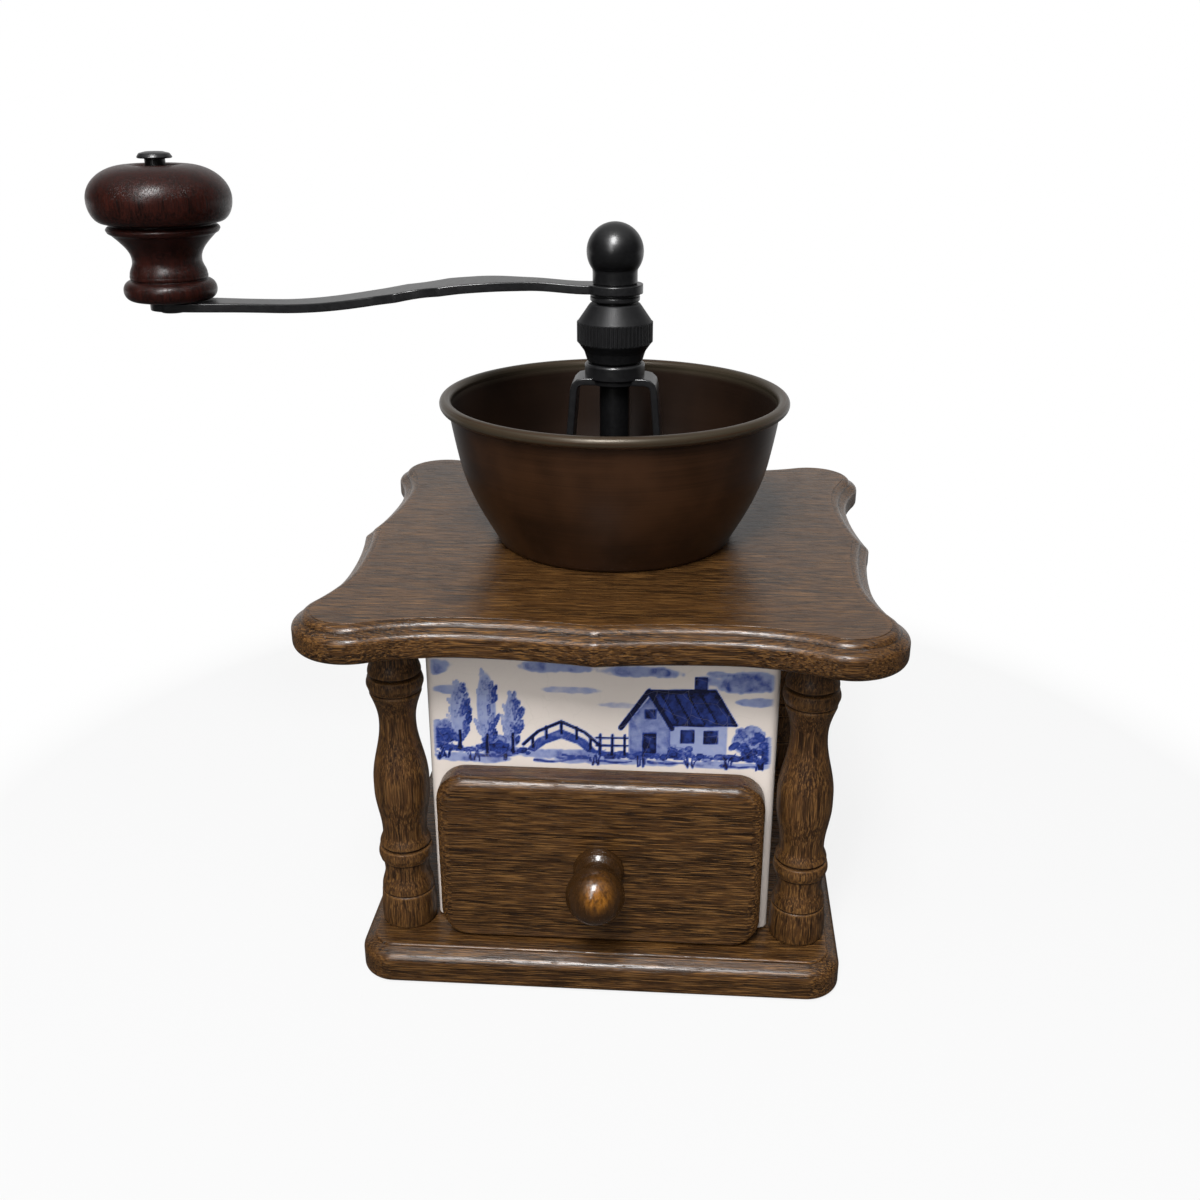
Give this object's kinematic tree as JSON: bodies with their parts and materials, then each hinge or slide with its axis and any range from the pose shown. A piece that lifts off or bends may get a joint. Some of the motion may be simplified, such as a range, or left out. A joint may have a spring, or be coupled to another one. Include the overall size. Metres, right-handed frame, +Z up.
{
  "type": "coffee grinder mill",
  "caption": "Hand coffee mill: turned-post wooden case round a glazed body, metal hopper, side crank with wooden knob, adjustable burrs and a drawer.",
  "frame": {"origin": "centre of the base board's underside, on the spindle axis", "axes": "+Z up along the spindle; the drawer opens towards -Y; the crank arm points towards -X at rest"},
  "size_m": [0.2247, 0.1592, 0.221],
  "materials": {
    "stained_beech": "semi-gloss dark brown stain with fine grain",
    "dark_knob": "glossy dark reddish brown",
    "plain_beech": "plain sanded",
    "glaze": "glossy white glaze with blue painting",
    "copper_brown": "antique copper brown, satin, brushed round",
    "black_metal": "black satin",
    "dark_iron": "hardened grey iron",
    "steel_fasteners": "zinc plated"
  },
  "bodies": {
    "case": {"base_plate": "stained_beech", "top_plate": "stained_beech", "post_front_left": "stained_beech", "post_front_right": "stained_beech", "post_rear_left": "stained_beech", "post_rear_right": "stained_beech", "base_screws": "steel_fasteners", "ceramic_body": "glaze", "drawer_guide_left": "plain_beech", "drawer_guide_right": "plain_beech", "hopper_bowl": "copper_brown", "bearing_bracket": "black_metal", "bracket_screws": "black_metal", "key_screw": "steel_fasteners", "burr_ring": "dark_iron", "lower_bearing_bridge": "black_metal", "bridge_screws": "steel_fasteners"},
    "sleeve": {"bearing_sleeve": "black_metal"},
    "nut": {"adjusting_nut": "black_metal"},
    "crank": {"spindle": "dark_iron", "inner_burr": "dark_iron", "burr_collar": "dark_iron", "thrust_washer": "steel_fasteners", "crank_arm": "black_metal", "ball_nut": "black_metal", "knob_rivet": "black_metal"},
    "knob": {"crank_knob": "dark_knob"},
    "drawer": {"drawer_front": "stained_beech", "drawer_side_left": "plain_beech", "drawer_side_right": "plain_beech", "drawer_back": "plain_beech", "drawer_bottom": "plain_beech", "drawer_knob": "stained_beech", "drawer_knob_screw": "steel_fasteners"}
  },
  "joints": [
    {"name": "drawer_slide", "type": "slide", "parent": "case", "child": "drawer", "axis": [0, -1, 0], "range_m": [0, 0.085]},
    {"name": "grind_adjust", "type": "hinge", "parent": "case", "child": "nut", "pos_m": [0, 0, 0.1737], "axis": [0, 0, 1], "range_deg": [-180, 180]},
    {"name": "burr_lift", "type": "slide", "parent": "case", "child": "sleeve", "axis": [0, 0, 1], "range_m": [-0.000374, 0.000374]},
    {"name": "crank_spin", "type": "hinge", "parent": "sleeve", "child": "crank", "pos_m": [0, 0, 0.17], "axis": [0, 0, 1], "continuous": true},
    {"name": "knob_spin", "type": "hinge", "parent": "crank", "child": "knob", "pos_m": [-0.1265, 0, 0.2], "axis": [0, 0, 1], "continuous": true}
  ],
  "couplings": [
    {"joint": "grind_adjust", "follows": "burr_lift", "rad_per_m": 8377.6}
  ]
}
